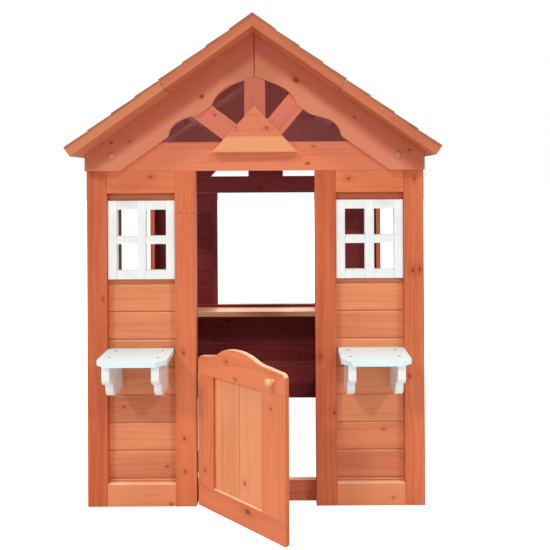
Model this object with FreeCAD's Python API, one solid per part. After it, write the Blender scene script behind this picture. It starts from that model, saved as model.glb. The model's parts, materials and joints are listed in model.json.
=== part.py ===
"""A child's wooden playhouse: plank walls, four-pane windows, an arched half door and a lapped-board roof.

+Z is up, the front wall faces -Y, and X runs to the right as seen from the front. The origin is on the
ground, under the middle of the box that holds the house with its half door standing open at rest.
Each sub-part is drawn with Y measured back from the front wall's outer face; save() shifts it into place.
"""
import FreeCAD
import Part
import math
import os

# ---- Driving dimensions, in millimetres and degrees ----
TOTAL_HEIGHT = 1400.0
HOUSE_WIDTH = 976.0
HOUSE_DEPTH = 945.0

ROOF_PITCH = 35.3
ROOF_HALF_WIDTH = 517.0
ROOF_OVERHANG = 110.0
ROOF_FRAME_DEPTH = 23.0
ROOF_BOARD_BUTT = 8.0
ROOF_BOARD_TIP = 5.0
BOARDS_PER_PANEL = 4
PANEL_GAP = 1.0
ROOF_RAIL_WIDTH = 38.0
RAFTER_WIDTH = 34.0
RAFTERS = 2

WALL_TOP = 970.0
FRAME_THICKNESS = 30.0
SIDE_THICKNESS = 20.0
PLANK_THICKNESS = 12.0
SIDE_PLANK_THICKNESS = 10.0
PLANK_PITCH = 81.0
FIRST_PLANK_JOINT = 76.0
PLANK_BEVEL = 5.0
PLANK_SLOT = 2.0
JOINT_GAP = 0.2
NARROWEST_PLANK = 10.0

STILE_WIDTH = 58.0
POST_WIDTH = 60.0
PANEL_WIDTH = 197.0
RAIL_HEIGHT = 64.0

WINDOW_WIDTH = 195.0
WINDOW_BOTTOM = 656.0
WINDOW_TOP = 884.0
WINDOW_FRAME = 26.0
WINDOW_SETBACK = 6.0

SHELF_TOP = 453.0
SHELF_THICKNESS = 14.0
SHELF_WIDTH = 192.0
SHELF_FRONT = -130.0
SHELF_CORNER = 27.0
BRACKET_THICKNESS = 21.0
BRACKET_REACH = 138.0
BRACKET_BOTTOM = 341.0
BRACKET_OFFSETS = (18.0, 152.0)
SHELF_SCREWS_OUT = (30.0, 98.0)

THRESHOLD_HEIGHT = 62.0
THRESHOLD_THICKNESS = 18.0

TIE_BEAM_TOP = 1053.0
KING_POST_WIDTH = 61.0
STRUT_WIDTH = 60.0
STRUT_FOOT_Z = 1027.5
STRUT_ANGLES = {"left": 143.0, "right": 50.0}
BLOCK_HALF_WIDTH = 124.0
BLOCK_BOTTOM = 1022.0
BLOCK_TOP = 1156.0
BLOCK_THICKNESS = 22.0
BARGE_WIDTH = 95.5
BARGE_THICKNESS = 18.0
BARGE_JOINT = 2.0
SCALLOPS = ((170.0, 285.0, 20.0), (325.0, 470.0, 18.0))
SCALLOP_LEAN = 0.72
SCALLOP_FULLNESS = 1.3
SCALLOP_STEPS = 12
BOLT_X = 411.0
BOLT_Z = 1013.0
BOLT_RADIUS = 4.0
CAP_RADIUS = 11.0
CAP_HEIGHT = 6.0
CAP_SLAB_HALF = 20.0

BACK_OPENING_HALF = 211.0
BACK_JAMB = 19.0
BACK_SILL_TOP = 406.0
BACK_SILL_BOTTOM = 345.0
BACK_HEAD = 890.0
BACK_HEADER_TOP = 962.0
BACK_TIE_BOTTOM = 993.0
VENT_OUTER_BOTTOM = 238.0
VENT_BLOCK_HALF = 75.0
COUNTER_TOP = 394.0
COUNTER_THICKNESS = 21.0
COUNTER_DEPTH = 100.0

SIDE_BAY_END = 257.0
SIDE_OPENING_START = 315.0
SIDE_OPENING_END = 845.0
SIDE_OPENING_TOP = 900.0

DOOR_WIDTH = 334.0
DOOR_THICKNESS = 16.0
DOOR_BOTTOM = 7.0
DOOR_CROWN = 476.0
DOOR_CROWN_X = -8.0
DOOR_CROWN_END = 464.5
DOOR_CROWN_HALF = 62.0
DOOR_HOLLOW_HALF = 110.0
DOOR_SHOULDERS = {-1: 444.0, 1: 452.0}
DOOR_END_FALL = 6.0
DOOR_CORNER = 16.0
DOOR_RAIL_LOW = 386.0
DOOR_BOTTOM_RAIL_TOP = 71.0
DOOR_STILE_HINGE = 64.0
DOOR_STILE_FREE = 84.0
DOOR_BOARD_THICKNESS = 8.0
DOOR_BOARD_JOINTS = (28.0, 97.0)
DOOR_BOARD_SEAM = 1.0
DOOR_OPEN = 41.0
KNOB_FROM_HINGE = 294.0
KNOB_Z = 421.0
KNOB_RADIUS = 11.5

HINGE_LENGTH = 60.0
HINGE_CENTRES = (130.0, 350.0)
LEAF_THICKNESS = 1.2
LEAF_WIDTH = 14.0
LEAF_START = 3.4
BARREL_RADIUS = 2.6
PIN_RADIUS = 1.3
PIN_CLEARANCE = 0.06
KNUCKLE_GAP = 0.4

SCREW_RADIUS = 1.8
SCREW_HEAD_RADIUS = 3.6
SCREW_CLEARANCE = 0.1
SCREW_HEAD_HEIGHT = 2.0
SHELF_SCREW_LENGTH = 34.0
HINGE_SCREW_RADIUS = 1.4
HINGE_SCREW_HEAD = 2.5
HINGE_SCREW_LENGTH = 12.0
HINGE_SCREW_Y = 9.0
HINGE_HEAD_HEIGHT = 0.6

# ---- Values worked out from them ----
HALF = HOUSE_WIDTH / 2
PANEL_OUTER = HALF - STILE_WIDTH
PANEL_INNER = PANEL_OUTER - PANEL_WIDTH
DOORWAY_HALF = PANEL_INNER - POST_WIDTH
PANEL_MIDDLE = (PANEL_OUTER + PANEL_INNER) / 2
PLANK_FACE = FRAME_THICKNESS - PLANK_THICKNESS
BACK_FACE = HOUSE_DEPTH - FRAME_THICKNESS
SIDE_INNER = HALF - SIDE_THICKNESS
SIDES = {"left": -1, "right": 1}

SINE = math.sin(math.radians(ROOF_PITCH))
COSINE = math.cos(math.radians(ROOF_PITCH))
TANGENT = SINE / COSINE
SLOPE_LENGTH = ROOF_HALF_WIDTH / COSINE
ROOF_THICKNESS = ROOF_BOARD_BUTT + ROOF_FRAME_DEPTH
UNDERSIDE_RIDGE = TOTAL_HEIGHT - ROOF_THICKNESS / COSINE
BARGE_RIDGE = UNDERSIDE_RIDGE - BARGE_WIDTH / COSINE

HINGE_GAP = (2 * DOORWAY_HALF - DOOR_WIDTH) / 2
HINGE_X = -DOORWAY_HALF + HINGE_GAP / 2
DOOR_LEFT = -DOOR_WIDTH / 2
DOOR_RIGHT = DOOR_WIDTH / 2
DOOR_REACH = (DOOR_RIGHT - HINGE_X) * math.sin(math.radians(DOOR_OPEN))
FRONT_Y = (DOOR_REACH - HOUSE_DEPTH - ROOF_OVERHANG) / 2


# ---- Shape helpers ----
def vector(x, y, z):
    return FreeCAD.Vector(x, y, z)


def board(x0, x1, y0, y1, z0, z1):
    """A square-edged board that fills the box between two opposite corners."""
    return Part.makeBox(abs(x1 - x0), y1 - y0, z1 - z0, vector(min(x0, x1), y0, z0))


def outline_face(edges):
    return Part.Face(Part.Wire(edges))


def plate(points, y0, y1):
    """A flat board cut to an outline of (x, z) points and y1 - y0 thick."""
    corners = [vector(x, y0, z) for x, z in points]
    face = Part.Face(Part.makePolygon(corners + corners[:1]))
    return face.extrude(vector(0, y1 - y0, 0))


def side_plate(points, x0, x1):
    """A flat board cut to an outline of (y, z) points, lying across X."""
    corners = [vector(x0, y, z) for y, z in points]
    face = Part.Face(Part.makePolygon(corners + corners[:1]))
    return face.extrude(vector(x1 - x0, 0, 0))


def mirrored(points, side):
    return [(side * x, z) for x, z in points]


def cylinder(radius, height, base, direction):
    return Part.makeCylinder(radius, height, base, direction)


def as_door(shape):
    """Swings a piece drawn on the closed door out to the rest pose."""
    swung = shape.copy()
    swung.rotate(vector(HINGE_X, 0, 0), vector(0, 0, 1), -DOOR_OPEN)
    return swung


def save(name, solids):
    """Writes one node: a single solid, or a group of separate solids."""
    shape = solids[0].copy() if len(solids) == 1 else Part.makeCompound([solid.copy() for solid in solids])
    shape.translate(vector(0, FRONT_Y, 0))
    shape.exportStep("parts/" + name + ".step")
    print(name, len(shape.Solids), round(shape.Volume / 1000.0, 1), shape.isValid())


# ---- Planks ----
def plank_rows(low, high):
    """The plank rows between two heights, with the joints on the house's common spacing."""
    joints = [low]
    joint = FIRST_PLANK_JOINT
    while joint < high - NARROWEST_PLANK:
        if joint > low + NARROWEST_PLANK:
            joints.append(joint)
        joint += PLANK_PITCH
    joints.append(high)
    return list(zip(joints[:-1], joints[1:]))


def plank_section(face, back, z0, z1):
    """A shiplap plank's section: bevelled and slotted at its top front edge, just clear of the next."""
    inward = 1 if back > face else -1
    ledge = face + inward * PLANK_BEVEL
    z1 -= JOINT_GAP
    return [
        (face, z0),
        (face, z1 - PLANK_SLOT - PLANK_BEVEL),
        (ledge, z1 - PLANK_SLOT),
        (ledge, z1),
        (back, z1),
        (back, z0),
    ]


def planks_across(x0, x1, face, back, low, high):
    """Planks that run along X."""
    return [side_plate(plank_section(face, back, z0, z1), x0, x1) for z0, z1 in plank_rows(low, high)]


def planks_along(y0, y1, face, back, low, high):
    """Planks that run along Y, front to back."""
    return [plate(plank_section(face, back, z0, z1), y0, y1) for z0, z1 in plank_rows(low, high)]


# ---- Front wall ----
def front_wall():
    for name, side in SIDES.items():
        corner = board(side * PANEL_OUTER, side * HALF, 0, FRAME_THICKNESS, 0, WALL_TOP)
        save("front_corner_stile_" + name, [corner])
        save("front_door_post_" + name, [front_post(side)])
        low, high = sorted((side * PANEL_INNER, side * PANEL_OUTER))
        top_rail = board(low, high, 0, FRAME_THICKNESS, WALL_TOP - RAIL_HEIGHT, WALL_TOP)
        save("front_top_rail_" + name, [top_rail])
        save("front_bottom_rail_" + name, [board(low, high, 0, FRAME_THICKNESS, 0, RAIL_HEIGHT)])
        rows = planks_across(low, high, PLANK_FACE, FRAME_THICKNESS, RAIL_HEIGHT, WINDOW_BOTTOM)
        rows += planks_across(low, high, PLANK_FACE, FRAME_THICKNESS, WINDOW_TOP, WALL_TOP - RAIL_HEIGHT)
        save("front_planks_" + name, rows)
        save("window_" + name, [window(side * PANEL_MIDDLE)])


def front_post(side):
    """A door post. The left one is drilled for the hinge screws."""
    post = board(side * DOORWAY_HALF, side * PANEL_INNER, 0, FRAME_THICKNESS, 0, WALL_TOP)
    if side < 0:
        for hole in hinge_screws(-1, SCREW_CLEARANCE):
            post = post.cut(hole)
    return post


def window(middle):
    """A fixed frame with four open panes."""
    low = middle - WINDOW_WIDTH / 2
    frame = board(low, low + WINDOW_WIDTH, WINDOW_SETBACK, FRAME_THICKNESS, WINDOW_BOTTOM, WINDOW_TOP)
    pane_width = (WINDOW_WIDTH - 3 * WINDOW_FRAME) / 2
    pane_height = (WINDOW_TOP - WINDOW_BOTTOM - 3 * WINDOW_FRAME) / 2
    for column in range(2):
        for row in range(2):
            x = low + WINDOW_FRAME + column * (pane_width + WINDOW_FRAME)
            z = WINDOW_BOTTOM + WINDOW_FRAME + row * (pane_height + WINDOW_FRAME)
            pane = board(x, x + pane_width, 0, 2 * FRAME_THICKNESS, z, z + pane_height)
            frame = frame.cut(pane)
    return frame


def threshold():
    """The low board across the foot of the doorway, behind the posts."""
    back = FRAME_THICKNESS + THRESHOLD_THICKNESS
    save("threshold", [board(-PANEL_INNER, PANEL_INNER, FRAME_THICKNESS, back, 0, THRESHOLD_HEIGHT)])


# ---- Flower shelves ----
def shelf_middle(side):
    return side * (PANEL_OUTER - SHELF_WIDTH / 2)


def flower_shelf(side):
    """The shelf board, with its two front corners cut off."""
    x0 = shelf_middle(side) - SHELF_WIDTH / 2
    x1 = x0 + SHELF_WIDTH
    z0 = SHELF_TOP - SHELF_THICKNESS
    outline = [
        (x0, PLANK_FACE),
        (x0, SHELF_FRONT + SHELF_CORNER),
        (x0 + SHELF_CORNER, SHELF_FRONT),
        (x1 - SHELF_CORNER, SHELF_FRONT),
        (x1, SHELF_FRONT + SHELF_CORNER),
        (x1, PLANK_FACE),
    ]
    corners = [vector(x, y, z0) for x, y in outline]
    shelf = Part.Face(Part.makePolygon(corners + corners[:1])).extrude(vector(0, 0, SHELF_THICKNESS))
    for hole in shelf_screws(side, SCREW_CLEARANCE):
        shelf = shelf.cut(hole)
    return shelf


def bracket(x0):
    """A scroll-cut bracket: an upright nose, a hollow, a small step and a rounded toe."""
    def at(out, z):
        return vector(x0, PLANK_FACE - out, z)

    top = SHELF_TOP - SHELF_THICKNESS
    nose_low = at(BRACKET_REACH, BRACKET_BOTTOM + 59)
    nose_end = at(BRACKET_REACH - 33, BRACKET_BOTTOM + 43)
    step_end = at(BRACKET_REACH - 37, BRACKET_BOTTOM + 34)
    toe_front = at(BRACKET_REACH - 72, BRACKET_BOTTOM)
    edges = [
        Part.makeLine(at(0, top), at(BRACKET_REACH, top)),
        Part.makeLine(at(BRACKET_REACH, top), nose_low),
        Part.Arc(nose_low, at(BRACKET_REACH - 14, BRACKET_BOTTOM + 46), nose_end).toShape(),
        Part.makeLine(nose_end, step_end),
        Part.Arc(step_end, at(BRACKET_REACH - 46, BRACKET_BOTTOM + 10), toe_front).toShape(),
        Part.makeLine(toe_front, at(0, BRACKET_BOTTOM)),
        Part.makeLine(at(0, BRACKET_BOTTOM), at(0, top)),
    ]
    return outline_face(edges).extrude(vector(BRACKET_THICKNESS, 0, 0))


def bracket_starts(side):
    low = shelf_middle(side) - SHELF_WIDTH / 2
    return [low + offset for offset in BRACKET_OFFSETS]


def shelf_screws(side, extra):
    """Countersunk screws down through the shelf into both brackets; extra widens them into holes."""
    screws = []
    for x0 in bracket_starts(side):
        for out in SHELF_SCREWS_OUT:
            x = x0 + BRACKET_THICKNESS / 2
            y = PLANK_FACE - out
            shank_low = vector(x, y, SHELF_TOP - SHELF_SCREW_LENGTH - extra)
            shank = cylinder(SCREW_RADIUS + extra, SHELF_SCREW_LENGTH + extra, shank_low, vector(0, 0, 1))
            head_low = vector(x, y, SHELF_TOP - SCREW_HEAD_HEIGHT)
            head = cylinder(SCREW_HEAD_RADIUS + extra, SCREW_HEAD_HEIGHT, head_low, vector(0, 0, 1))
            screws.append(shank.fuse(head).removeSplitter())
    return screws


def flower_shelves():
    all_screws = []
    for name, side in SIDES.items():
        save("flower_shelf_" + name, [flower_shelf(side)])
        brackets = [bracket(x0) for x0 in bracket_starts(side)]
        for hole in shelf_screws(side, SCREW_CLEARANCE):
            brackets = [piece.cut(hole) for piece in brackets]
        save("shelf_brackets_" + name, brackets)
        all_screws += shelf_screws(side, 0.0)
    save("shelf_screws", all_screws)


# ---- Front gable ----
def underside_z(x):
    return UNDERSIDE_RIDGE - TANGENT * abs(x)


def gable_outline(bottom):
    """The five-sided space between a level line and the roof's underside."""
    eave = underside_z(HALF)
    return [(-HALF, bottom), (HALF, bottom), (HALF, eave), (0, UNDERSIDE_RIDGE), (-HALF, eave)]


def tie_beam(bottom, y0, y1):
    beam = plate(gable_outline(bottom), y0, y1)
    return beam.common(board(-HALF, HALF, y0, y1, bottom, TIE_BEAM_TOP))


def king_post():
    post = board(-KING_POST_WIDTH / 2, KING_POST_WIDTH / 2, 0, FRAME_THICKNESS, TIE_BEAM_TOP, TOTAL_HEIGHT)
    return post.common(plate(gable_outline(TIE_BEAM_TOP), 0, FRAME_THICKNESS))


def strut(side_name):
    """A strut that runs out from the foot of the king post to the roof."""
    reach = HALF
    stick = board(0, reach, 0, FRAME_THICKNESS, -STRUT_WIDTH / 2, STRUT_WIDTH / 2)
    stick.rotate(vector(0, 0, 0), vector(0, 1, 0), -STRUT_ANGLES[side_name])
    stick.translate(vector(0, 0, STRUT_FOOT_Z))
    stick = stick.common(plate(gable_outline(TIE_BEAM_TOP), 0, FRAME_THICKNESS))
    return stick.cut(king_post()).Solids[0]


def gable_block():
    """The flat triangle on the front of the tie beam and king post."""
    outline = [(-BLOCK_HALF_WIDTH, BLOCK_BOTTOM), (BLOCK_HALF_WIDTH, BLOCK_BOTTOM), (0, BLOCK_TOP)]
    return plate(outline, -BLOCK_THICKNESS, 0)


def scallop(on_edge, start, end, depth):
    """A leaning hollow in a barge board's lower edge: it rises fast and falls slowly."""
    points = []
    for step in range(SCALLOP_STEPS + 1):
        share = step / SCALLOP_STEPS
        height = max(0.0, math.sin(math.pi * share ** SCALLOP_LEAN)) ** SCALLOP_FULLNESS
        points.append(on_edge(start + (end - start) * share, depth * height))
    points[-1] = on_edge(end, 0)
    curve = Part.BSplineCurve()
    curve.interpolate(points)
    return curve.toShape()


def barge_board(side, y0, y1, scalloped):
    """A board under the roof's edge. The front ones have scallops along the lower edge."""
    foot_x = (BARGE_RIDGE - WALL_TOP) / TANGENT

    def on_edge(along, depth):
        x = foot_x - along * COSINE + depth * SINE
        z = WALL_TOP + along * SINE + depth * COSINE
        return vector(side * x, y0, z)

    centre_x = BARGE_JOINT / 2
    along = (foot_x - centre_x) / COSINE
    centre_low = on_edge(along, 0)
    lower = []
    place = on_edge(0, 0)
    for start, end, depth in SCALLOPS if scalloped else ():
        lower.append(Part.makeLine(place, on_edge(start, 0)))
        lower.append(scallop(on_edge, start, end, depth))
        place = on_edge(end, 0)
    lower.append(Part.makeLine(place, centre_low))
    ridge = vector(side * centre_x, y0, underside_z(centre_x))
    eave = vector(side * HALF, y0, underside_z(HALF))
    corner = vector(side * HALF, y0, WALL_TOP)
    rest = [Part.makeLine(centre_low, ridge), Part.makeLine(ridge, eave), Part.makeLine(eave, corner)]
    edges = lower + rest + [Part.makeLine(corner, on_edge(0, 0))]
    return outline_face(edges).extrude(vector(0, y1 - y0, 0))


def bolts(extra):
    """The domed-head bolts through each barge board's foot and the tie beam."""
    pieces = []
    for side in SIDES.values():
        start = vector(side * BOLT_X, -BARGE_THICKNESS, BOLT_Z)
        length = BARGE_THICKNESS + FRAME_THICKNESS + extra
        shank = cylinder(BOLT_RADIUS + extra, length, start, vector(0, 1, 0))
        if extra > 0:
            pieces.append(shank)
            continue
        ball_radius = (CAP_RADIUS ** 2 + CAP_HEIGHT ** 2) / (2 * CAP_HEIGHT)
        middle = vector(side * BOLT_X, ball_radius - CAP_HEIGHT - BARGE_THICKNESS, BOLT_Z)
        ball = Part.makeSphere(ball_radius, middle)
        half = CAP_SLAB_HALF
        slab = board(side * BOLT_X - half, side * BOLT_X + half, -BARGE_THICKNESS - half,
                     -BARGE_THICKNESS, BOLT_Z - half, BOLT_Z + half)
        pieces.append(ball.common(slab).fuse(shank).removeSplitter())
    return pieces


def front_gable():
    holes = bolts(SCREW_CLEARANCE)
    beam = tie_beam(WALL_TOP, 0, FRAME_THICKNESS)
    for hole in holes:
        beam = beam.cut(hole)
    save("front_tie_beam", [beam])
    save("front_king_post", [king_post()])
    for name, side in SIDES.items():
        save("gable_strut_" + name, [strut(name)])
        barge = barge_board(side, -BARGE_THICKNESS, 0, True)
        for hole in holes:
            barge = barge.cut(hole)
        save("front_barge_board_" + name, [barge])
    save("gable_block", [gable_block()])
    save("barge_bolts", bolts(0.0))


# ---- Back wall ----
def back_wall():
    stiles = [board(side * PANEL_OUTER, side * HALF, BACK_FACE, HOUSE_DEPTH, 0, BACK_TIE_BOTTOM)
              for side in SIDES.values()]
    save("back_stiles", stiles)
    header = board(-PANEL_OUTER, PANEL_OUTER, BACK_FACE, HOUSE_DEPTH, BACK_HEAD, BACK_HEADER_TOP)
    bottom = board(-PANEL_OUTER, PANEL_OUTER, BACK_FACE, HOUSE_DEPTH, 0, RAIL_HEIGHT)
    save("back_rails", [header, bottom])
    save("back_opening_frame", back_opening_frame())
    save("back_vent_blocks", back_vent_blocks())
    save("back_planks", back_planks())
    save("serving_counter", [serving_counter()])
    save("back_tie_beam", [tie_beam(BACK_TIE_BOTTOM, BACK_FACE, HOUSE_DEPTH)])
    save("back_gable_planks", back_gable_planks())
    outer = HOUSE_DEPTH + BARGE_THICKNESS
    barges = [barge_board(side, HOUSE_DEPTH, outer, False) for side in SIDES.values()]
    save("back_barge_boards", barges)


def back_opening_frame():
    """The sill rail and the two narrow jambs of the large back opening."""
    pieces = [board(-PANEL_OUTER, PANEL_OUTER, BACK_FACE, HOUSE_DEPTH, BACK_SILL_BOTTOM, BACK_SILL_TOP)]
    for side in SIDES.values():
        jamb_outer = side * (BACK_OPENING_HALF + BACK_JAMB)
        jamb_low = BACK_SILL_TOP + JOINT_GAP
        jamb = board(side * BACK_OPENING_HALF, jamb_outer, BACK_FACE, HOUSE_DEPTH, jamb_low, BACK_HEAD)
        pieces.append(jamb)
    return pieces


def back_vent_blocks():
    """Blocks that hold the gable off the header and leave two vent slots."""
    half = VENT_BLOCK_HALF
    pieces = [board(-half, half, BACK_FACE, HOUSE_DEPTH, BACK_HEADER_TOP, BACK_TIE_BOTTOM)]
    outline = [
        (VENT_OUTER_BOTTOM, BACK_HEADER_TOP),
        (PANEL_OUTER, BACK_HEADER_TOP),
        (PANEL_OUTER, BACK_TIE_BOTTOM),
        (BACK_OPENING_HALF, BACK_TIE_BOTTOM),
    ]
    for side in SIDES.values():
        pieces.append(plate(mirrored(outline, side), BACK_FACE, HOUSE_DEPTH))
    return pieces


def back_planks():
    face = BACK_FACE + PLANK_THICKNESS
    rows = planks_across(-PANEL_OUTER, PANEL_OUTER, face, BACK_FACE, RAIL_HEIGHT, BACK_SILL_BOTTOM)
    jamb_outer = BACK_OPENING_HALF + BACK_JAMB
    for low, high in ((-PANEL_OUTER, -jamb_outer), (jamb_outer, PANEL_OUTER)):
        rows += planks_across(low, high, face, BACK_FACE, BACK_SILL_TOP, BACK_HEAD)
    return rows


def serving_counter():
    y0 = BACK_FACE - COUNTER_DEPTH
    return board(-SIDE_INNER, SIDE_INNER, y0, BACK_FACE, COUNTER_TOP - COUNTER_THICKNESS, COUNTER_TOP)


def back_gable_planks():
    face = BACK_FACE + PLANK_THICKNESS
    space = plate(gable_outline(TIE_BEAM_TOP), BACK_FACE, face)
    rows = planks_across(-HALF, HALF, face, BACK_FACE, TIE_BEAM_TOP, UNDERSIDE_RIDGE)
    return [row.common(space).Solids[0] for row in rows]


# ---- Side walls ----
def side_walls():
    for name, side in SIDES.items():
        inner = side * SIDE_INNER
        outer = side * HALF
        plank_face = side * (SIDE_INNER + SIDE_PLANK_THICKNESS)
        front_post_y = FRAME_THICKNESS + STILE_WIDTH
        posts = [
            board(inner, outer, FRAME_THICKNESS, front_post_y, 0, SIDE_OPENING_TOP),
            board(inner, outer, SIDE_BAY_END, SIDE_OPENING_START, RAIL_HEIGHT, SIDE_OPENING_TOP),
            board(inner, outer, SIDE_OPENING_END, BACK_FACE, 0, SIDE_OPENING_TOP),
        ]
        save("side_posts_" + name, posts)
        top_rail = [
            (inner, SIDE_OPENING_TOP),
            (outer, SIDE_OPENING_TOP),
            (outer, underside_z(outer)),
            (inner, underside_z(inner)),
        ]
        rails = [
            plate(top_rail, FRAME_THICKNESS, BACK_FACE),
            board(inner, outer, SIDE_OPENING_START, SIDE_OPENING_END, BACK_SILL_BOTTOM, BACK_SILL_TOP),
            board(inner, outer, front_post_y, SIDE_OPENING_END, 0, RAIL_HEIGHT),
        ]
        save("side_rails_" + name, rails)
        planks = planks_along(front_post_y, SIDE_BAY_END, plank_face, inner, RAIL_HEIGHT, SIDE_OPENING_TOP)
        below = (SIDE_OPENING_START, SIDE_OPENING_END, plank_face, inner, RAIL_HEIGHT, BACK_SILL_BOTTOM)
        planks += planks_along(*below)
        save("side_planks_" + name, planks)


# ---- Roof ----
def roof_point(side, along, below):
    """The (x, z) of a point on one slope: along it from the ridge, and square below its outline."""
    x = along * COSINE - below * SINE
    z = TOTAL_HEIGHT - along * SINE - below * COSINE
    return (side * x, z)


def roof_bar(side, along0, along1, below0, below1, y0, y1):
    """A roof member. One that starts at the ridge is cut plumb there, to meet the other slope."""
    starts = [max(along0, below * TANGENT) for below in (below0, below1)]
    corners = [
        roof_point(side, starts[0], below0),
        roof_point(side, along1, below0),
        roof_point(side, along1, below1),
        roof_point(side, starts[1], below1),
    ]
    return plate(corners, y0, y1)


def roof_frame(side, along0, along1):
    """One roof panel's frame: a wide board over each gable, two rails across and rafters between them."""
    top = ROOF_BOARD_BUTT
    low = ROOF_THICKNESS
    front = FRAME_THICKNESS
    back = BACK_FACE
    rail_end = along0 + ROOF_RAIL_WIDTH
    rail_start = along1 - ROOF_RAIL_WIDTH
    rail_front = front + JOINT_GAP
    rail_back = back - JOINT_GAP
    pieces = [
        roof_bar(side, along0, along1, top, low, -ROOF_OVERHANG, front),
        roof_bar(side, along0, along1, top, low, back, HOUSE_DEPTH + ROOF_OVERHANG),
        roof_bar(side, along0, rail_end, top, low, rail_front, rail_back),
        roof_bar(side, rail_start, along1, top, low, rail_front, rail_back),
    ]
    for number in range(1, RAFTERS + 1):
        middle = front + (back - front) * number / (RAFTERS + 1)
        pieces.append(roof_bar(side, rail_end + JOINT_GAP, rail_start - JOINT_GAP, top, low,
                               middle - RAFTER_WIDTH / 2, middle + RAFTER_WIDTH / 2))
    return pieces


def roof_boards(side, along0, along1, from_ridge):
    """Tapered boards laid across the slope, each thin at its top edge and thick at its butt."""
    width = (along1 - along0) / BOARDS_PER_PANEL
    pieces = []
    for number in range(BOARDS_PER_PANEL):
        start = along0 + number * width
        end = start + width - JOINT_GAP
        flat = from_ridge and number == 0
        top_depth = 0.0 if flat else ROOF_BOARD_BUTT - ROOF_BOARD_TIP
        start_low = max(start, ROOF_BOARD_BUTT * TANGENT) if flat else start
        corners = [
            roof_point(side, start, top_depth),
            roof_point(side, end, 0.0),
            roof_point(side, end, ROOF_BOARD_BUTT),
            roof_point(side, start_low, ROOF_BOARD_BUTT),
        ]
        pieces.append(plate(corners, -ROOF_OVERHANG, HOUSE_DEPTH + ROOF_OVERHANG))
    return pieces


def roof():
    middle = SLOPE_LENGTH / 2
    panels = {"upper": (0.0, middle - PANEL_GAP / 2), "lower": (middle + PANEL_GAP / 2, SLOPE_LENGTH)}
    for side_name, side in SIDES.items():
        for level, (along0, along1) in panels.items():
            name = level + "_" + side_name
            save("roof_frame_" + name, roof_frame(side, along0, along1))
            save("roof_boards_" + name, roof_boards(side, along0, along1, level == "upper"))


# ---- Half door ----
def door_outline():
    """The door's front outline, closed: square at the foot, with an arched top between two shoulders."""
    def at(x, z):
        return vector(x, 0, z)

    def half(side):
        edge = side * DOOR_WIDTH / 2
        shoulder = DOOR_SHOULDERS[side]
        end_z = shoulder - DOOR_END_FALL
        crown_x = DOOR_CROWN_X + side * DOOR_CROWN_HALF
        hollow_x = DOOR_CROWN_X + side * DOOR_HOLLOW_HALF
        hollow_z = shoulder + 0.28 * (DOOR_CROWN_END - shoulder)
        corner_start = at(edge - side * DOOR_CORNER, end_z)
        corner_end = at(edge, end_z - DOOR_CORNER)
        corner_middle = at(edge - side * DOOR_CORNER / 4, end_z - DOOR_CORNER / 3)
        return [
            Part.Arc(at(crown_x, DOOR_CROWN_END), at((crown_x + hollow_x) / 2, hollow_z),
                     at(hollow_x, shoulder)).toShape(),
            Part.makeLine(at(hollow_x, shoulder), corner_start),
            Part.Arc(corner_start, corner_middle, corner_end).toShape(),
            Part.makeLine(corner_end, at(edge, DOOR_BOTTOM)),
        ]

    crown = Part.Arc(at(DOOR_CROWN_X - DOOR_CROWN_HALF, DOOR_CROWN_END), at(DOOR_CROWN_X, DOOR_CROWN),
                     at(DOOR_CROWN_X + DOOR_CROWN_HALF, DOOR_CROWN_END)).toShape()
    foot = Part.makeLine(at(DOOR_LEFT, DOOR_BOTTOM), at(DOOR_RIGHT, DOOR_BOTTOM))
    edges = Part.sortEdges([crown, foot] + half(-1) + half(1))[0]
    return outline_face(edges)


def door_stile(side):
    """An upright of the door's frame. The hinge one is drilled for the hinge screws."""
    width = DOOR_STILE_HINGE if side < 0 else DOOR_STILE_FREE
    edge = side * DOOR_WIDTH / 2
    stile = board(edge, edge - side * width, 0, DOOR_THICKNESS, DOOR_BOTTOM_RAIL_TOP, DOOR_RAIL_LOW)
    if side < 0:
        for hole in hinge_screws(1, SCREW_CLEARANCE):
            stile = stile.cut(hole)
    return stile


def door_boards():
    """The upright boards in the door's panel: a narrow one at the hinge side and two wide ones."""
    y0 = DOOR_THICKNESS - DOOR_BOARD_THICKNESS
    low = DOOR_LEFT + DOOR_STILE_HINGE
    high = DOOR_RIGHT - DOOR_STILE_FREE
    starts = [low] + [low + joint for joint in DOOR_BOARD_JOINTS]
    ends = [start - DOOR_BOARD_SEAM for start in starts[1:]] + [high]
    return [board(x0, x1, y0, DOOR_THICKNESS, DOOR_BOTTOM_RAIL_TOP, DOOR_RAIL_LOW)
            for x0, x1 in zip(starts, ends)]


def door_knob():
    """A turned knob on a short neck."""
    x = HINGE_X + KNOB_FROM_HINGE
    neck = cylinder(KNOB_RADIUS * 0.55, KNOB_RADIUS, vector(x, 0, KNOB_Z), vector(0, -1, 0))
    ball = Part.makeSphere(KNOB_RADIUS, vector(x, -KNOB_RADIUS * 1.25, KNOB_Z))
    return neck.fuse(ball).removeSplitter()


def half_door():
    whole = door_outline().extrude(vector(0, DOOR_THICKNESS, 0))
    top = whole.common(board(DOOR_LEFT, DOOR_RIGHT, 0, DOOR_THICKNESS, DOOR_RAIL_LOW, TOTAL_HEIGHT))
    bottom = board(DOOR_LEFT, DOOR_RIGHT, 0, DOOR_THICKNESS, DOOR_BOTTOM, DOOR_BOTTOM_RAIL_TOP)
    pieces = {
        "door_top_rail": [top],
        "door_bottom_rail": [bottom],
        "door_stile_hinge": [door_stile(-1)],
        "door_stile_free": [door_stile(1)],
        "door_boards": door_boards(),
        "door_knob": [door_knob()],
        "hinge_leaves_door": [hinge_leaf(1, centre) for centre in HINGE_CENTRES],
        "hinge_screws_door": hinge_screws(1, 0.0),
    }
    for name, solids in pieces.items():
        save(name, [as_door(solid) for solid in solids])


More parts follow.
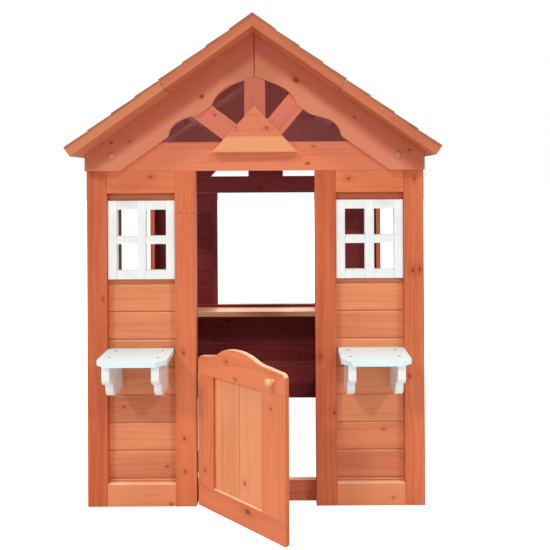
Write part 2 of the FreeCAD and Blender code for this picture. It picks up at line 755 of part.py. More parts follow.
# ---- Hinges ----
def hinge_leaf(side, centre):
    """One leaf: side -1 screws to the post and has the outer knuckles, side 1 to the door's edge."""
    low = centre - HINGE_LENGTH / 2
    third = HINGE_LENGTH / 3
    surface = HINGE_X + side * HINGE_GAP / 2
    leaf = board(surface, surface - side * LEAF_THICKNESS, LEAF_START, LEAF_WIDTH, low, low + HINGE_LENGTH)
    if side < 0:
        spans = [(low, low + third - KNUCKLE_GAP), (low + 2 * third + KNUCKLE_GAP, low + HINGE_LENGTH)]
    else:
        spans = [(low + third, low + 2 * third)]
    for z0, z1 in spans:
        knuckle = cylinder(BARREL_RADIUS, z1 - z0, vector(HINGE_X, 0, z0), vector(0, 0, 1))
        web = board(surface, surface - side * LEAF_THICKNESS, 0, LEAF_START, z0, z1)
        leaf = leaf.fuse(knuckle).fuse(web)
    bore = cylinder(PIN_RADIUS + PIN_CLEARANCE, HINGE_LENGTH, vector(HINGE_X, 0, low), vector(0, 0, 1))
    leaf = leaf.cut(bore)
    for hole in hinge_screws(side, SCREW_CLEARANCE):
        leaf = leaf.cut(hole)
    return leaf.removeSplitter().Solids[0]


def hinge_screws(side, extra):
    """Two screws per leaf; with extra the heads are left off and the shanks become holes."""
    surface = HINGE_X + side * (HINGE_GAP / 2 - LEAF_THICKNESS)
    outward = vector(side, 0, 0)
    screws = []
    for centre in HINGE_CENTRES:
        for offset in (-HINGE_LENGTH / 4, HINGE_LENGTH / 4):
            start = vector(surface, HINGE_SCREW_Y, centre + offset)
            shank = cylinder(HINGE_SCREW_RADIUS + extra, HINGE_SCREW_LENGTH + extra, start, outward)
            if extra > 0:
                screws.append(shank)
                continue
            head = cylinder(HINGE_SCREW_HEAD, HINGE_HEAD_HEIGHT, start, vector(-side, 0, 0))
            screws.append(shank.fuse(head).removeSplitter())
    return screws


def hinge_pin(centre):
    low = centre - HINGE_LENGTH / 2
    head = cylinder(BARREL_RADIUS, 1.2, vector(HINGE_X, 0, low + HINGE_LENGTH), vector(0, 0, 1))
    pin = cylinder(PIN_RADIUS, HINGE_LENGTH, vector(HINGE_X, 0, low), vector(0, 0, 1))
    return pin.fuse(head).removeSplitter()


def hinges():
    save("hinge_leaves_frame", [hinge_leaf(-1, centre) for centre in HINGE_CENTRES])
    save("hinge_screws_frame", hinge_screws(-1, 0.0))
    save("hinge_pins", [hinge_pin(centre) for centre in HINGE_CENTRES])


def main():
    os.makedirs("parts", exist_ok=True)
    front_wall()
    threshold()
    flower_shelves()
    front_gable()
    back_wall()
    side_walls()
    roof()
    half_door()
    hinges()


main()
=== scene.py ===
"""The looks of a child's wooden playhouse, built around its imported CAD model. All lengths are in metres.

Every board is made from its CAD solid: the flat faces are joined, the arrises are eased, and each board gets
its own grain frame, so that the stain, the growth rings and the knots run along the wood. The window frames,
the knob, the bolt caps and the nail heads are built here. Hinges and screws keep their CAD shapes.
"""

import math
import random

import bmesh
import bpy
from mathutils import Matrix, Vector
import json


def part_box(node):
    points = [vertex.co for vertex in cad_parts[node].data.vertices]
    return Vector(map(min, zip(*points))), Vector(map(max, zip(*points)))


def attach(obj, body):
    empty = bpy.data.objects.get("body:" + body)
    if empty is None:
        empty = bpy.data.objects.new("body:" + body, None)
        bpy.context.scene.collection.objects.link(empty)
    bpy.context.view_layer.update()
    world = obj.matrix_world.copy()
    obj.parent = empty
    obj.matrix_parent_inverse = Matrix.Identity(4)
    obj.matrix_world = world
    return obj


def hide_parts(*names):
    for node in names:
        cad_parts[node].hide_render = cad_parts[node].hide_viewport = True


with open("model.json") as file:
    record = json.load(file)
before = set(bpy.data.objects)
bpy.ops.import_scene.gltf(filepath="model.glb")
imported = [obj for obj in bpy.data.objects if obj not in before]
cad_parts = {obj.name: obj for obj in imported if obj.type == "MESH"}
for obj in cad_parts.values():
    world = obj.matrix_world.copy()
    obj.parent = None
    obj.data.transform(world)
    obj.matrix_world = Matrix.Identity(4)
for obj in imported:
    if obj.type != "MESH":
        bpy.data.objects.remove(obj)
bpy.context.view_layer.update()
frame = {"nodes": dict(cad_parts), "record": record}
random.seed(41)


def rgb(red, green, blue):
    return (red, green, blue, 1.0)


# ---- Cleaning and easing the boards ----
WELD = 0.00002
FLAT_ANGLE = math.radians(0.5)
SHARP_ANGLE = math.radians(28)
EASE_SEGMENTS = 2
EASE_PROFILE = 0.55
BOARD_EASE = 0.0016
PLANK_EASE = 0.0009
ROOF_EASE = 0.0008
BLOCK_EASE = 0.0030
PAINTED_EASE = 0.0020

# ---- Telling faces apart: limits on a face's normal, then where the walls are ----
SIDE_LIMIT = 0.2
END_LIMIT = 0.85
LEDGE_LIMIT = 0.35
INWARD = 0.5
WALL_TOP = 0.992
INSIDE_HALF_WIDTH = 0.455
FRONT_INNER = -0.387
BACK_INNER = 0.498
EDGE_SLACK = 0.002
# The face layers mark end grain and the door's side faces (painted shade), arrises, faces in painted shade
# inside the house and under the roof, and upward faces that take a painted highlight.
FACE_LAYERS = ("end_grain_and_side_shade", "arris_face", "inner_shade_face", "under_roof_shade", "ledge_highlight_face")

# ---- Windows ----
WINDOW_BAR = 0.026
WINDOW_CROSS_BAR = 0.0240
WINDOW_JOINT = 0.00010
WINDOW_STEP = 0.0005
WINDOW_EASE = 0.0011

# ---- Turned pieces: profiles are shares of the length and the radius; KNOB_BALL_START is in degrees ----
KNOB_NECK = ((0.0, 0.0), (0.0, 0.62), (0.05, 0.64), (0.09, 0.56), (0.16, 0.46), (0.24, 0.45))
KNOB_BALL_CENTRE = 0.62
KNOB_BALL_START = 158
KNOB_BALL_STEPS = 14
KNOB_SIDES = 40
CAP_FLANGE = 0.18
CAP_DOME_START = 0.24
CAP_DOME_RADIUS = 0.86
CAP_STEPS = 8
CAP_SIDES = 32
NAIL_RADIUS = 0.0021
NAIL_HEIGHT = 0.0005
NAIL_SINK = 0.0004
NAIL_ROOT = 0.6
NAIL_DOME = ((0.0, 1.0), (0.6, 0.9), (1.0, 0.45), (1.05, 0.0))
NAIL_SIDES = 12
NAIL_INSET = 0.016
NAILED_WIDTH = 0.03
POST_NAIL_SHARES = (0.26, 0.58, 0.90)
POST_NAIL_Z = 0.848

# ---- Knots: spacing and radii in metres, spreads as shares of a board, core and halo in knot radii ----
KNOTS_PER_BOARD = 4
KNOT_SPACING = 0.42
KNOT_SPREAD_ALONG = 0.92
KNOT_SPREAD_ACROSS = 0.7
KNOT_RADII = (0.0022, 0.0048)
NO_KNOT = (9.0, 9.0, 0.001)
KNOT_SQUEEZE = (0.72, 1.0, 0.0)
KNOT_CORE = (0.45, 1.35)
KNOT_HALO = (0.8, 6.5)
KNOT_PUSH = 0.72

# ---- Wood pattern: scales are per metre along, across and through a board ----
SEED_RANGE = 40.0
SEED_ALONG = 3.7
SEED_THROUGH = 0.31
BLOTCH_SCALES = (1.6, 9.0, 9.0)
RING_SCALES = (0.9, 95.0, 60.0)
FIBRE_SCALES = (14.0, 620.0, 620.0)
BRUSH_SCALES = (18.0, 420.0, 420.0)
RING_EDGES = (0.40, 0.66)
ARRIS_PATCH_EDGES = (0.45, 0.62)
RING_WANDER = 0.075
SAPWOOD_AND_LIT_BAND_WANDER = 0.04
RING_RELIEF = -0.55
KNOT_RELIEF = -0.8

# ---- Wood shade: what each part adds to a board's darkness, and how much of each tone is mixed in ----
BASE_SHADE = 0.18
RING_SHADE = 0.24
FIBRE_SHADE = 0.30
BLOTCH_SHADE = 1.15
TINT_SHADE = 0.84
HALO_SHADE = 0.34
# The pale band is sapwood on the block; on the barge boards it is partly painted light below the overhang's
# shadow.
SAPWOOD_AND_LIT_BAND_SHARE = 0.70
KNOT_SHARE = 0.84
# The end share darkens end grain, and as painted shade the door's side faces too.
END_AND_SIDE_SHADE_SHARE = 0.60
# Painted shade: the inner share and tone darken faces that look into the house, where little light reaches.
INNER_SHADE_SHARE = 0.85
# Painted shade: the under-roof share and tone tint faces under the roof pinkish, the colour of the shade
# there.
UNDER_ROOF_SHADE_SHARE = 0.55
ARRIS_LIGHTEN_SHARE = 0.30
BLOTCH_GLOSS = 0.22
END_GLOSS = 0.15
KNOT_TONE = rgb(0.215, 0.034, 0.010)
INNER_SHADE_TONE = rgb(0.33, 0.100, 0.50)
UNDER_ROOF_SHADE_TONE = rgb(0.72, 0.32, 0.36)
# Painted highlight: the pale tone mixed into faces that look upwards, where light from above falls.
LEDGE_HIGHLIGHT_TONE = rgb(1.00, 0.64, 0.40)

# ---- Camera: nearly level, with a slight roll ----
CAMERA_PLACE = (0.0919, -2.2466, 0.9373)
CAMERA_LENS = 41.37
CAMERA_SENSOR = 36.0
CAMERA_CLIP = (0.05, 100.0)
CAMERA_TILT = math.radians(90.25)
CAMERA_ROLL = math.radians(-0.31)
CAMERA_SHIFT = (-0.02145, -0.1748)

# ---- Floor and light: each sun's direction, strength, angle in degrees and colour ----
FLOOR_SIZE = 30.0
FLOOR_SQUARES = 8
FLOOR_DROP = 0.0005
FLOOR_GLOW = 0.88
LIGHTS = {
    "front_left": ((0.525, 0.525, -0.669), 1.12, 9.0, (0.985, 1.0, 1.0)),
    "front_right": ((-0.525, 0.525, -0.669), 0.92, 9.0, (0.985, 1.0, 1.0)),
    "above": ((0.05, 0.12, -0.99), 1.55, 20.0, (1.0, 1.0, 1.0)),
    "behind": ((-0.20, -0.80, -0.57), 2.0, 40.0, (1.0, 1.0, 1.0)),
}
WORLD_SEEN = 1.0
WORLD_LIGHT = 0.40

# ---- Which nodes are what ----
FRONT_NODES = [
    "front_corner_stile_left", "front_corner_stile_right", "front_door_post_left", "front_door_post_right",
    "front_top_rail_left", "front_top_rail_right",
]
WALL_NODES = [
    "threshold", "back_stiles", "back_rails", "back_opening_frame", "back_vent_blocks", "back_tie_beam",
    "back_barge_boards", "side_posts_left", "side_posts_right", "side_rails_left", "side_rails_right",
]
WALL_PLANKS = ["back_planks", "back_gable_planks", "side_planks_left", "side_planks_right"]
ROOF_BOARDS = [
    "roof_boards_upper_left", "roof_boards_lower_left", "roof_boards_upper_right", "roof_boards_lower_right",
]
DOOR_NODES = ["door_top_rail", "door_bottom_rail", "door_stile_hinge", "door_stile_free"]
METAL_NODES = [
    "hinge_leaves_door", "hinge_leaves_frame", "hinge_pins", "hinge_screws_door", "hinge_screws_frame",
    "shelf_screws",
]

# The stained woods: a light tone, a dark tone, and what differs from wood_material's own values.
# The ledge share in these entries is how much painted highlight a wood's upward faces take.
WOODS = {
    "front": (rgb(0.73, 0.200, 0.082), rgb(0.46, 0.083, 0.030), {}),
    "plank": (rgb(0.76, 0.265, 0.118), rgb(0.52, 0.135, 0.054), {"ledge_highlight_share": 0.20}),
    "rail": (rgb(0.76, 0.265, 0.118), rgb(0.52, 0.135, 0.054), {"ledge_highlight_share": 0.90}),
    "wall": (rgb(0.66, 0.180, 0.080), rgb(0.42, 0.085, 0.036), {}),
    # The king post and struts take a pinker, bluer wood as painted shade: the colour of the shade under the
    # overhang.
    "gable": (rgb(0.76, 0.220, 0.140), rgb(0.50, 0.105, 0.065), {}),
    "tie": (rgb(0.74, 0.210, 0.102), rgb(0.47, 0.094, 0.045), {}),
    "roof": (rgb(0.64, 0.198, 0.095), rgb(0.41, 0.092, 0.043), {"roughness": 0.6, "ledge_highlight_share": 0.0}),
    "roof_board": (
        rgb(0.70, 0.240, 0.110), rgb(0.44, 0.115, 0.052),
        {"roughness": 0.6, "ledge_highlight_share": 0.0, "end_tone": rgb(0.16, 0.075, 0.045)}),
    "tan_roof": (rgb(0.57, 0.188, 0.087), rgb(0.38, 0.105, 0.049), {"roughness": 0.6, "ledge_highlight_share": 0.0}),
    # The serving counter is pale wood, with its tones raised further as painted light for the light it gets
    # from behind.
    "counter": (rgb(1.00, 0.52, 0.29), rgb(0.88, 0.38, 0.20), {}),
    "door": (rgb(0.77, 0.225, 0.095), rgb(0.52, 0.115, 0.042), {"ledge_highlight_share": 0.75}),
    "door_board": (rgb(0.80, 0.310, 0.142), rgb(0.58, 0.170, 0.066), {}),
    "block": (
        rgb(0.70, 0.205, 0.097), rgb(0.46, 0.100, 0.042),
        {"sapwood_and_lit_band": (-0.024, 0.003, rgb(0.82, 0.38, 0.17))}),
    # The barge boards' tones are darkened as painted shade from the roof overhang; their pale lower band is
    # partly painted light.
    "barge": (
        rgb(0.55, 0.140, 0.075), rgb(0.34, 0.070, 0.038),
        {"sapwood_and_lit_band": (-0.004, 0.014, rgb(0.82, 0.31, 0.17))}),
}

# The boards in building order, which the random draws follow: nodes, wood and how far the arrises are eased.
BOARDS = [
    (FRONT_NODES, "front", BOARD_EASE),
    (["front_barge_board_left", "front_barge_board_right"], "barge", BOARD_EASE),
    (["gable_block"], "block", BLOCK_EASE),
    (["front_tie_beam"], "tie", BOARD_EASE),
    (["front_bottom_rail_left", "front_bottom_rail_right"], "rail", BOARD_EASE),
    (["serving_counter"], "counter", BOARD_EASE),
    (["front_king_post", "gable_strut_left", "gable_strut_right"], "gable", BOARD_EASE),
    (["front_planks_left", "front_planks_right"], "plank", PLANK_EASE),
    (WALL_NODES, "wall", BOARD_EASE),
    (WALL_PLANKS, "wall", PLANK_EASE),
    (["roof_frame_upper_left"], "roof", ROOF_EASE),
    (["roof_frame_lower_left"], "tan_roof", ROOF_EASE),
    (["roof_frame_upper_right", "roof_frame_lower_right"], "roof", ROOF_EASE),
    (ROOF_BOARDS, "roof_board", ROOF_EASE),
    (DOOR_NODES, "door", BOARD_EASE),
    (["door_boards"], "door_board", PLANK_EASE),
]

# Knots that are placed one by one: board number from the lowest up, then how far along the board from its
# lower or left end and how far across it from its middle, as shares of its size, then the knot's radius.
PLACED_KNOTS = {
    "front_door_post_left": [
        (0, 0.202, -0.08, 0.0038), (0, 0.104, -0.05, 0.0036),
        (0, 0.458, -0.10, 0.0034),
    ],
    "front_door_post_right": [(0, 0.443, -0.28, 0.0040), (0, 0.277, 0.38, 0.0042)],
    "front_corner_stile_right": [
        (0, 0.384, -0.25, 0.0038), (0, 0.700, -0.06, 0.0050),
        (0, 0.702, 0.27, 0.0040), (0, 0.972, 0.03, 0.0036),
    ],
    "front_corner_stile_left": [(0, 0.62, 0.30, 0.0026)],
    "front_planks_left": [(1, 0.86, -0.10, 0.0034), (3, 0.22, 0.05, 0.0024)],
    "front_planks_right": [(2, 0.70, 0.20, 0.0026)],
    "front_barge_board_left": [
        (0, 0.639, -0.12, 0.0062), (0, 0.177, 0.34, 0.0045),
        (0, 0.248, 0.03, 0.0024),
    ],
    "front_barge_board_right": [
        (0, 0.278, 0.08, 0.0085), (0, 0.597, 0.175, 0.0030),
        (0, 0.891, 0.32, 0.0038),
    ],
    "gable_block": [(0, 0.64, 0.02, 0.0034), (0, 0.28, 0.03, 0.0026)],
    "door_bottom_rail": [(0, 0.595, 0.22, 0.0070)],
    "door_top_rail": [(0, 0.355, 0.10, 0.0032), (0, 0.46, -0.36, 0.0030)],
    "door_boards": [(2, 0.155, -0.28, 0.0042)],
    "door_stile_free": [(0, 0.88, -0.10, 0.0030)],
    "front_bottom_rail_left": [(0, 0.93, -0.38, 0.0040)],
    "gable_strut_left": [(0, 0.55, 0.22, 0.0028)],
}

# How dark a node's boards are, from 0 (light) to 1 (dark); other boards are given a tone at random.
TONES = {
    "front_corner_stile_left": 0.92, "front_corner_stile_right": 0.62, "front_door_post_left": 0.50,
    "front_door_post_right": 0.85, "front_tie_beam": 0.20, "front_king_post": 0.10, "gable_strut_left": 0.15,
    "gable_strut_right": 0.20, "gable_block": 0.30, "front_barge_board_left": 0.10,
    "front_barge_board_right": 0.00, "front_top_rail_left": 0.30, "front_top_rail_right": 0.35,
    "front_bottom_rail_left": 0.25, "front_bottom_rail_right": 0.10, "door_top_rail": 0.35,
    "door_bottom_rail": 0.55, "door_stile_free": 0.35, "door_stile_hinge": 0.50, "threshold": 0.70,
    "serving_counter": 0.00, "door_boards": 0.25, "roof_frame_lower_left": 0.00,
}


# ---- Shader helpers ----
def add_node(tree, kind, inputs=None, **settings):
    """Adds a shader node; each input is a value or another node's output."""
    node = tree.nodes.new(kind)
    for key, value in settings.items():
        setattr(node, key, value)
    for key, value in (inputs or {}).items():
        if isinstance(value, bpy.types.NodeSocket):
            tree.links.new(value, node.inputs[key])
        else:
            node.inputs[key].default_value = value
    return node


def math_node(tree, operation, first, second=0.0, third=0.0, clamp=False):
    node = add_node(tree, "ShaderNodeMath", {0: first, 1: second, 2: third}, operation=operation)
    node.use_clamp = clamp
    return node.outputs[0]


def vector_node(tree, operation, first, second=(0.0, 0.0, 0.0)):
    node = add_node(tree, "ShaderNodeVectorMath", {0: first, 1: second}, operation=operation)
    return node.outputs["Value" if operation == "LENGTH" else "Vector"]


def noise(tree, vector, scale, detail=2.0, roughness=0.5):
    inputs = {"Vector": vector, "Scale": scale, "Detail": detail, "Roughness": roughness}
    return add_node(tree, "ShaderNodeTexNoise", inputs).outputs["Fac"]


def ramp(tree, value, low, high):
    """The value mapped smoothly from low..high to 0..1."""
    inputs = {"Value": value, "From Min": low, "From Max": high, "To Min": 0.0, "To Max": 1.0}
    return add_node(tree, "ShaderNodeMapRange", inputs, interpolation_type="SMOOTHSTEP").outputs["Result"]


def mix_colour(tree, factor, first, second, blend="MIX"):
    node = add_node(tree, "ShaderNodeMix", data_type="RGBA", blend_type=blend)
    for index, value in ((0, factor), (6, first), (7, second)):
        if isinstance(value, bpy.types.NodeSocket):
            tree.links.new(value, node.inputs[index])
        else:
            node.inputs[index].default_value = value
    return node.outputs[2]


def mix_where(tree, mask, share, colour, tone, blend="MIX"):
    """The colour with a share of a tone mixed in where the mask is on."""
    return mix_colour(tree, math_node(tree, "MULTIPLY", mask, share), colour, tone, blend)


def add_swing(tree, value, amount, total):
    """The total, raised or lowered by how far the value is from one half."""
    return math_node(tree, "MULTIPLY_ADD", math_node(tree, "SUBTRACT", value, 0.5), amount, total)


def pattern_place(tree, along, across, through, scales, shift=0.0):
    """A place in a pattern that has its own scale along, across and through the board."""
    return add_node(tree, "ShaderNodeCombineXYZ", {
        "X": math_node(tree, "MULTIPLY", along, scales[0]),
        "Y": math_node(tree, "MULTIPLY", across, scales[1]),
        "Z": math_node(tree, "MULTIPLY_ADD", through, scales[2], shift)}).outputs[0]


def object_place(tree):
    return add_node(tree, "ShaderNodeTexCoord").outputs["Object"]


def attribute(tree, name, output="Fac"):
    return add_node(tree, "ShaderNodeAttribute", attribute_name=name).outputs[output]


def new_material(name, roughness, specular=0.4, metallic=0.0, coat=0.0):
    """A Principled material with its even values set on the shader itself."""
    material = bpy.data.materials.new(name)
    material.use_nodes = True
    tree = material.node_tree
    shader = tree.nodes["Principled BSDF"]
    shader.inputs["Roughness"].default_value = roughness
    shader.inputs["Specular IOR Level"].default_value = specular
    shader.inputs["Metallic"].default_value = metallic
    shader.inputs["Coat Weight"].default_value = coat
    return material, tree, shader


def vary_roughness(tree, shader, value, amount, base):
    """Roughness that rises from a base with the value."""
    tree.links.new(math_node(tree, "MULTIPLY_ADD", value, amount, base), shader.inputs["Roughness"])


def add_bump(tree, shader, height, strength, distance):
    """Relief in the shading alone, up to a distance in metres."""
    bump = add_node(tree, "ShaderNodeBump", {"Strength": strength, "Distance": distance, "Height": height})
    tree.links.new(bump.outputs[0], shader.inputs["Normal"])


# ---- Materials ----
def knot_fields(tree, place):
    """How deep inside a knot a point is, how near one it is, and how far its grain is pushed aside."""
    core = 0.0
    near = 0.0
    push = 0.0
    across = add_node(tree, "ShaderNodeSeparateXYZ", {0: place}).outputs["Y"]
    for number in range(KNOTS_PER_BOARD):
        knot = attribute(tree, f"knot_{number}", "Vector")
        parts = add_node(tree, "ShaderNodeSeparateXYZ", {0: knot})
        offset = vector_node(tree, "SUBTRACT", place, knot)
        flat = vector_node(tree, "MULTIPLY", offset, KNOT_SQUEEZE)
        distance = math_node(tree, "DIVIDE", vector_node(tree, "LENGTH", flat), parts.outputs["Z"])
        this_core = math_node(tree, "SUBTRACT", 1.0, ramp(tree, distance, *KNOT_CORE))
        this_near = math_node(tree, "SUBTRACT", 1.0, ramp(tree, distance, *KNOT_HALO))
        core = math_node(tree, "MAXIMUM", core, this_core)
        near = math_node(tree, "MAXIMUM", near, this_near)
        gap = math_node(tree, "SUBTRACT", parts.outputs["Y"], across)
        push = math_node(tree, "MULTIPLY_ADD", gap, math_node(tree, "MULTIPLY", this_near, KNOT_PUSH), push)
    return core, near, push


def wood_material(name, light, dark, roughness=0.46, ledge_highlight_share=0.45, end_tone=None, sapwood_and_lit_band=None):
    """Stained softwood: growth rings and fibres along each board, knots, blotches and darker end grain.

    The pale band argument gives where a pale band along the board ends, measured across it from its middle,
    how soft that edge is, and the band's colour. The band is sapwood on the gable block; on the barge boards
    it is partly pale wood and partly painted light below the roof overhang's shadow. Without an end_tone,
    end grain, and the door's side faces in painted shade, take the dark tone.
    """
    material, tree, shader = new_material(name, roughness, specular=0.20)
    place = attribute(tree, "board_place", "Vector")
    seed = attribute(tree, "board_seed")
    tint = attribute(tree, "board_tint")
    end = attribute(tree, "end_grain_and_side_shade")
    arris = attribute(tree, "arris_face")
    core, near, push = knot_fields(tree, place)

    parts = add_node(tree, "ShaderNodeSeparateXYZ", {0: place})
    along = math_node(tree, "ADD", parts.outputs["X"], math_node(tree, "MULTIPLY", seed, SEED_ALONG))
    slow = pattern_place(tree, along, parts.outputs["Y"], parts.outputs["Z"], BLOTCH_SCALES, seed)
    wander = math_node(tree, "SUBTRACT", noise(tree, slow, scale=1.0), 0.5)
    across = math_node(tree, "ADD", parts.outputs["Y"], push)
    across = math_node(tree, "MULTIPLY_ADD", wander, RING_WANDER, across)
    through = math_node(tree, "ADD", parts.outputs["Z"], math_node(tree, "MULTIPLY", seed, SEED_THROUGH))

    ring_place = pattern_place(tree, along, across, through, RING_SCALES)
    ring = ramp(tree, noise(tree, ring_place, scale=1.0, detail=1.5, roughness=0.45), *RING_EDGES)
    fibre_place = pattern_place(tree, along, across, through, FIBRE_SCALES)
    fibre = noise(tree, fibre_place, scale=1.0, detail=3.0, roughness=0.6)
    blotch = noise(tree, slow, scale=1.3, detail=3.0, roughness=0.55)

    shade = math_node(tree, "MULTIPLY", ring, RING_SHADE)
    shade = add_swing(tree, fibre, FIBRE_SHADE, shade)
    shade = add_swing(tree, blotch, BLOTCH_SHADE, shade)
    shade = add_swing(tree, tint, TINT_SHADE, shade)
    shade = math_node(tree, "MULTIPLY_ADD", math_node(tree, "MULTIPLY", near, near), HALO_SHADE, shade)
    shade = math_node(tree, "ADD", shade, BASE_SHADE, clamp=True)
    colour = mix_colour(tree, shade, light, dark)
    # Pale band: sapwood on the block; on the barge boards partly pale wood, partly painted light below the
    # overhang's shadow.
    if sapwood_and_lit_band:
        edge, softness, pale = sapwood_and_lit_band
        wavy = math_node(tree, "MULTIPLY_ADD", wander, SAPWOOD_AND_LIT_BAND_WANDER, parts.outputs["Y"])
        band = math_node(tree, "SUBTRACT", 1.0, ramp(tree, wavy, edge - softness, edge + softness))
        colour = mix_where(tree, band, SAPWOOD_AND_LIT_BAND_SHARE, colour, pale)
    colour = mix_where(tree, core, KNOT_SHARE, colour, KNOT_TONE)
    # End grain is darker; the door's side faces take the same dark tone as painted shade.
    colour = mix_where(tree, end, END_AND_SIDE_SHADE_SHARE, colour, end_tone or dark)
    # Painted shade: faces that look into the house are multiplied darker, as little light reaches them.
    colour = mix_where(tree, attribute(tree, "inner_shade_face"), INNER_SHADE_SHARE, colour, INNER_SHADE_TONE, "MULTIPLY")
    # Painted shade: faces under the roof between the gables take the pinkish colour of the shade there.
    colour = mix_where(tree, attribute(tree, "under_roof_shade"), UNDER_ROOF_SHADE_SHARE, colour, UNDER_ROOF_SHADE_TONE)
    # Arrises are lightened towards the light tone in patches.
    arris_patches = ramp(tree, noise(tree, slow, scale=6.0, detail=3.0), *ARRIS_PATCH_EDGES)
    colour = mix_where(tree, math_node(tree, "MULTIPLY", arris, arris_patches), ARRIS_LIGHTEN_SHARE, colour, light)
    # Painted highlight: faces that look upwards are mixed towards a pale tone by the ledge share.
    colour = mix_where(tree, attribute(tree, "ledge_highlight_face"), ledge_highlight_share, colour, LEDGE_HIGHLIGHT_TONE)
    tree.links.new(colour, shader.inputs["Base Color"])

    gloss = add_swing(tree, blotch, BLOTCH_GLOSS, roughness)
    vary_roughness(tree, shader, end, END_GLOSS, gloss)
    height = math_node(tree, "MULTIPLY_ADD", ring, RING_RELIEF, fibre)
    height = math_node(tree, "MULTIPLY_ADD", core, KNOT_RELIEF, height)
    add_bump(tree, shader, height, strength=0.28, distance=0.0006)
    return material


def paint_material(name, bright, shaded):
    """White paint brushed along the wood, a little thin on the arrises, with the grain showing faintly."""
    material, tree, shader = new_material(name, roughness=0.42, specular=0.45)
    place = attribute(tree, "board_place", "Vector")
    seed = attribute(tree, "board_seed")
    arris = attribute(tree, "arris_face")
    parts = add_node(tree, "ShaderNodeSeparateXYZ", {0: place})
    brush_place = pattern_place(tree, *(parts.outputs[axis] for axis in "XYZ"), BRUSH_SCALES, seed)
    brush = noise(tree, brush_place, scale=1.0)
    cloud_place = vector_node(tree, "ADD", place, (0.3, 0.7, 0.1))
    cloud = noise(tree, cloud_place, scale=22.0)
    colour = mix_colour(tree, ramp(tree, cloud, low=0.3, high=0.75), bright, shaded)
    streak = ramp(tree, brush, low=0.55, high=0.8)
    colour = mix_where(tree, streak, share=0.20, colour=colour, tone=rgb(0.74, 0.76, 0.72))
    rubbed = math_node(tree, "MULTIPLY", arris, ramp(tree, cloud, low=0.55, high=0.68))
    colour = mix_where(tree, rubbed, share=0.35, colour=colour, tone=rgb(0.70, 0.60, 0.48))
    tree.links.new(colour, shader.inputs["Base Color"])
    vary_roughness(tree, shader, brush, amount=0.18, base=0.34)
    add_bump(tree, shader, brush, strength=0.22, distance=0.0005)
    return material


def knob_material():
    """Pale turned wood under clear lacquer."""
    material, tree, shader = new_material("lacquered_wood", roughness=0.34, specular=0.5, coat=0.5)
    shader.inputs["Coat Roughness"].default_value = 0.12
    stretched = vector_node(tree, "MULTIPLY", object_place(tree), (60.0, 60.0, 420.0))
    grain = noise(tree, stretched, scale=1.0, detail=3.0, roughness=0.55)
    dark_grain = ramp(tree, grain, low=0.35, high=0.7)
    colour = mix_colour(tree, dark_grain, rgb(0.80, 0.43, 0.17), rgb(0.56, 0.25, 0.09))
    tree.links.new(colour, shader.inputs["Base Color"])
    vary_roughness(tree, shader, grain, amount=0.15, base=0.26)
    add_bump(tree, shader, grain, strength=0.12, distance=0.0003)
    return material


def bronze_material():
    """Dark bronze coating, a little worn and mottled."""
    material, tree, shader = new_material("dark_bronze", roughness=0.45, metallic=0.7)
    place = object_place(tree)
    fine = noise(tree, place, scale=900.0, roughness=0.6)
    worn = noise(tree, place, scale=140.0)
    colour = mix_colour(tree, fine, rgb(0.16, 0.085, 0.055), rgb(0.09, 0.05, 0.035))
    colour = mix_colour(tree, ramp(tree, worn, low=0.55, high=0.8), colour, rgb(0.30, 0.19, 0.13))
    tree.links.new(colour, shader.inputs["Base Color"])
    vary_roughness(tree, shader, worn, amount=0.35, base=0.30)
    add_bump(tree, shader, fine, strength=0.10, distance=0.0002)
    return material


def cap_material():
    """Glossy moulded caps coloured to match the stain."""
    material, tree, shader = new_material("bolt_cap", roughness=0.30, specular=0.5)
    mottle = noise(tree, object_place(tree), scale=260.0)
    colour = mix_colour(tree, mottle, rgb(0.58, 0.24, 0.11), rgb(0.44, 0.17, 0.07))
    tree.links.new(colour, shader.inputs["Base Color"])
    vary_roughness(tree, shader, mottle, amount=0.2, base=0.2)
    add_bump(tree, shader, mottle, strength=0.08, distance=0.0002)
    return material


def floor_material():
    """A pale floor, lit up a little for the camera so that it meets the white surroundings."""
    material, tree, shader = new_material("pale_floor", roughness=0.8, specular=0.0)
    mottle = noise(tree, object_place(tree), scale=1.5)
    seen = add_node(tree, "ShaderNodeLightPath").outputs["Is Camera Ray"]
    pale = mix_colour(tree, mottle, rgb(0.94, 0.94, 0.94), rgb(0.91, 0.91, 0.91))
    colour = mix_colour(tree, seen, rgb(0.70, 0.70, 0.70), pale)
    tree.links.new(colour, shader.inputs["Base Color"])
    shader.inputs["Emission Color"].default_value = rgb(1, 1, 1)
    tree.links.new(math_node(tree, "MULTIPLY", seen, FLOOR_GLOW), shader.inputs["Emission Strength"])
    return material


# ---- Mesh helpers ----
def islands(bm):
    """The separate boards in a mesh, as lists of faces, lowest and leftmost first."""
    bm.faces.ensure_lookup_table()
    seen = set()
    found = []
    for start in bm.faces:
        if start in seen:
            continue
        stack = [start]
        seen.add(start)
        faces = []
        while stack:
            face = stack.pop()
            faces.append(face)
            for edge in face.edges:
                for other in edge.link_faces:
                    if other not in seen:
                        seen.add(other)
                        stack.append(other)
        found.append(faces)

    def order(faces):
        points = [vert.co for face in faces for vert in face.verts]
        lowest = Vector([min(p[i] for p in points) for i in range(3)])
        return (round(lowest.z, 3), round(lowest.x, 3), round(lowest.y, 3))

    return sorted(found, key=order)


def turned_up(direction):
    """The same line, pointing along its largest component."""
    largest = max(range(3), key=lambda i: abs(direction[i]))
    return direction if direction[largest] > 0 else -direction


